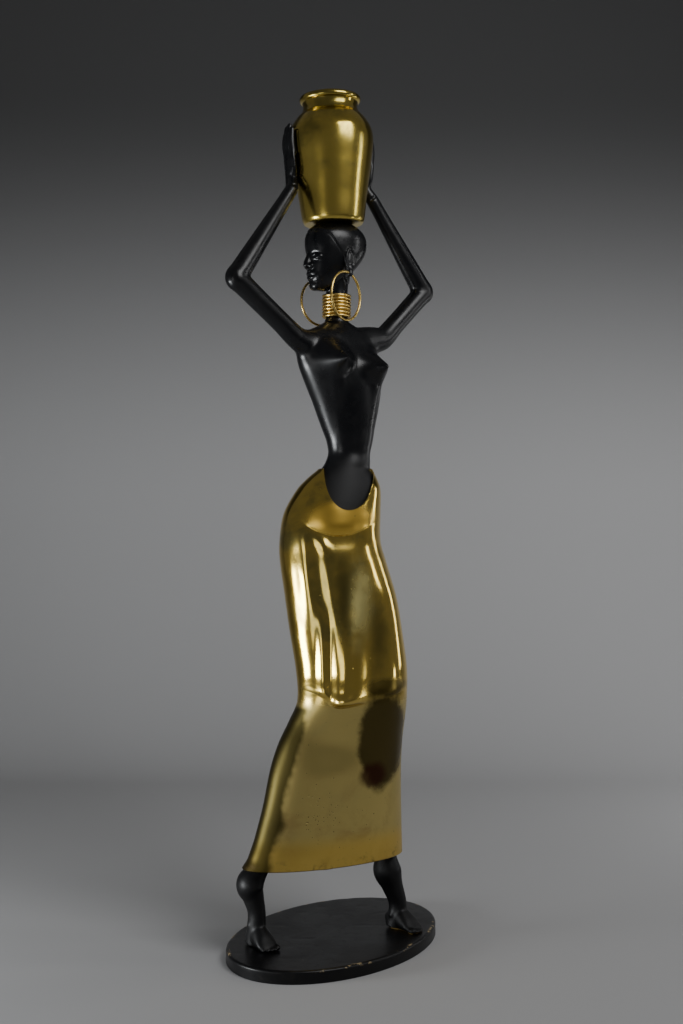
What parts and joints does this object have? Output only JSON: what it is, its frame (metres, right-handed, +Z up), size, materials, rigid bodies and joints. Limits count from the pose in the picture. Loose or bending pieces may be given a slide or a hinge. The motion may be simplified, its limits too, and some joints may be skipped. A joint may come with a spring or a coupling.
{
  "type": "standing female figure sculpture",
  "caption": "Tall slender standing woman in black patinated metal with a polished brass wrap skirt, neck rings and hoops, steadying a brass jar on her head, on an oval base.",
  "frame": {"origin": "on the floor under the middle of the whole figure's bounding box", "axes": "+Z up; the viewer of the picture looks along +Y with +X to the right"},
  "size_m": [0.4328, 0.4862, 1.7499],
  "materials": {
    "base": "matt black patina, rubbed at the rim",
    "right_leg": "satin black patina",
    "left_leg": "satin black patina",
    "skirt": "polished, tarnished in places",
    "upper_body": "satin black patina",
    "vase": "polished, tarnished in places",
    "neck_ring_1": "polished, with a copper tint",
    "neck_ring_2": "polished, with a copper tint",
    "neck_ring_3": "polished, with a copper tint",
    "neck_ring_4": "polished, with a copper tint",
    "neck_ring_5": "polished, with a copper tint",
    "neck_ring_6": "polished, with a copper tint",
    "neck_ring_7": "polished, with a copper tint",
    "left_earring": "polished, with a copper tint",
    "right_earring": "polished, with a copper tint"
  },
  "bodies": {
    "root": {"base": "base", "right_leg": "right_leg", "left_leg": "left_leg", "skirt": "skirt", "upper_body": "upper_body", "vase": "vase", "neck_ring_1": "neck_ring_1", "neck_ring_2": "neck_ring_2", "neck_ring_3": "neck_ring_3", "neck_ring_4": "neck_ring_4", "neck_ring_5": "neck_ring_5", "neck_ring_6": "neck_ring_6", "neck_ring_7": "neck_ring_7", "left_earring": "left_earring", "right_earring": "right_earring"}
  },
  "joints": []
}
